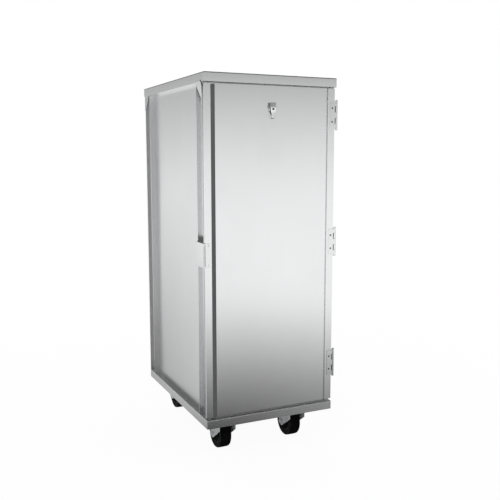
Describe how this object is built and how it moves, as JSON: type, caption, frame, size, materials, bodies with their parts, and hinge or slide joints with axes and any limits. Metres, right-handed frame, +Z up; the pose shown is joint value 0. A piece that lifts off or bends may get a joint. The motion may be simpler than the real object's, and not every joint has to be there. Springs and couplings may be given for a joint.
{
  "type": "enclosed meal tray cart",
  "caption": "Tall enclosed sheet-metal meal tray cart on swivel casters, with a full-width hinged door, corner latch, ticket clip and tray slides inside.",
  "frame": {"origin": "centre of the plan on the floor, under the middle of the base", "axes": "+Z up, -Y towards the door at the front, +X towards the hinge side"},
  "size_m": [0.5785, 0.763, 1.507],
  "materials": {
    "sheet_aluminium": "satin",
    "polished_steel": "fine brushed stainless",
    "zinc_plate": "bright zinc plate",
    "dark_steel": "blackened",
    "grey_strip": "matte extruded vinyl",
    "seal_rubber": "matte",
    "wheel_plastic": "moulded",
    "tyre_rubber": "matte"
  },
  "bodies": {
    "cabinet": {"base_pan": "sheet_aluminium", "caster_channel_front": "zinc_plate", "caster_channel_rear": "zinc_plate", "upright_front_left": "sheet_aluminium", "upright_front_right": "sheet_aluminium", "upright_rear_left": "sheet_aluminium", "upright_rear_right": "sheet_aluminium", "side_panel_left": "sheet_aluminium", "side_panel_right": "sheet_aluminium", "back_panel": "sheet_aluminium", "back_panel_rivets": "zinc_plate", "door_header": "sheet_aluminium", "door_sill": "sheet_aluminium", "top_cap": "sheet_aluminium", "corner_gussets": "polished_steel", "tray_slides_left": "sheet_aluminium", "tray_slides_right": "sheet_aluminium", "hinge_frame_leaves": "polished_steel", "hinge_pins": "polished_steel", "hinge_frame_screws": "zinc_plate", "latch_keeper": "polished_steel", "keeper_magnets": "dark_steel", "caster_bolts": "zinc_plate", "caster_plate_front_left": "zinc_plate", "caster_plate_front_right": "zinc_plate", "caster_plate_rear_left": "zinc_plate", "caster_plate_rear_right": "zinc_plate"},
    "door": {"door_left_stile": "sheet_aluminium", "door_right_stile": "sheet_aluminium", "door_panel": "sheet_aluminium", "door_liner": "sheet_aluminium", "door_strip": "grey_strip", "door_seal": "seal_rubber", "hinge_door_leaves": "polished_steel", "hinge_door_screws": "zinc_plate", "latch_plate": "polished_steel", "latch_screws": "zinc_plate", "latch_pin": "polished_steel", "clip_base": "polished_steel", "clip_pin": "polished_steel", "clip_spring": "dark_steel", "clip_rivets": "zinc_plate"},
    "latch_lever": {"latch_lever": "polished_steel"},
    "clip_jaw": {"clip_jaw": "polished_steel"},
    "caster_front_left": {"caster_fork_front_left": "zinc_plate", "caster_axle_front_left": "zinc_plate"},
    "wheel_front_left": {"wheel_core_front_left": "wheel_plastic", "tyre_front_left": "tyre_rubber"},
    "caster_front_right": {"caster_fork_front_right": "zinc_plate", "caster_axle_front_right": "zinc_plate"},
    "wheel_front_right": {"wheel_core_front_right": "wheel_plastic", "tyre_front_right": "tyre_rubber"},
    "caster_rear_left": {"caster_fork_rear_left": "zinc_plate", "caster_axle_rear_left": "zinc_plate"},
    "wheel_rear_left": {"wheel_core_rear_left": "wheel_plastic", "tyre_rear_left": "tyre_rubber"},
    "caster_rear_right": {"caster_fork_rear_right": "zinc_plate", "caster_axle_rear_right": "zinc_plate"},
    "wheel_rear_right": {"wheel_core_rear_right": "wheel_plastic", "tyre_rear_right": "tyre_rubber"}
  },
  "joints": [
    {"name": "door_hinge", "type": "hinge", "parent": "cabinet", "child": "door", "pos_m": [0.289, -0.369, 0.8535], "axis": [0, 0, 1], "range_deg": [0, 270]},
    {"name": "latch_turn", "type": "hinge", "parent": "door", "child": "latch_lever", "pos_m": [-0.2816, -0.3697, 0.8285], "axis": [0, 0, 1], "range_deg": [0, 100]},
    {"name": "clip_squeeze", "type": "hinge", "parent": "door", "child": "clip_jaw", "pos_m": [0.0015, -0.3755, 1.379], "axis": [-1, 0, 0], "range_deg": [0, 18], "stiffness_Nm_per_rad": 0.25, "springref_deg": -11.46},
    {"name": "swivel_front_left", "type": "hinge", "parent": "cabinet", "child": "caster_front_left", "pos_m": [-0.1606, -0.262, 0.15], "axis": [0, 0, 1], "continuous": true},
    {"name": "roll_front_left", "type": "hinge", "parent": "caster_front_left", "child": "wheel_front_left", "pos_m": [-0.1606, -0.2193, 0.0635], "axis": [1, 0, 0], "continuous": true},
    {"name": "swivel_front_right", "type": "hinge", "parent": "cabinet", "child": "caster_front_right", "pos_m": [0.1606, -0.262, 0.15], "axis": [0, 0, 1], "continuous": true},
    {"name": "roll_front_right", "type": "hinge", "parent": "caster_front_right", "child": "wheel_front_right", "pos_m": [0.1606, -0.2193, 0.0635], "axis": [1, 0, 0], "continuous": true},
    {"name": "swivel_rear_left", "type": "hinge", "parent": "cabinet", "child": "caster_rear_left", "pos_m": [-0.1606, 0.262, 0.15], "axis": [0, 0, 1], "continuous": true},
    {"name": "roll_rear_left", "type": "hinge", "parent": "caster_rear_left", "child": "wheel_rear_left", "pos_m": [-0.1606, 0.3047, 0.0635], "axis": [1, 0, 0], "continuous": true},
    {"name": "swivel_rear_right", "type": "hinge", "parent": "cabinet", "child": "caster_rear_right", "pos_m": [0.1606, 0.262, 0.15], "axis": [0, 0, 1], "continuous": true},
    {"name": "roll_rear_right", "type": "hinge", "parent": "caster_rear_right", "child": "wheel_rear_right", "pos_m": [0.1606, 0.3047, 0.0635], "axis": [1, 0, 0], "continuous": true}
  ]
}
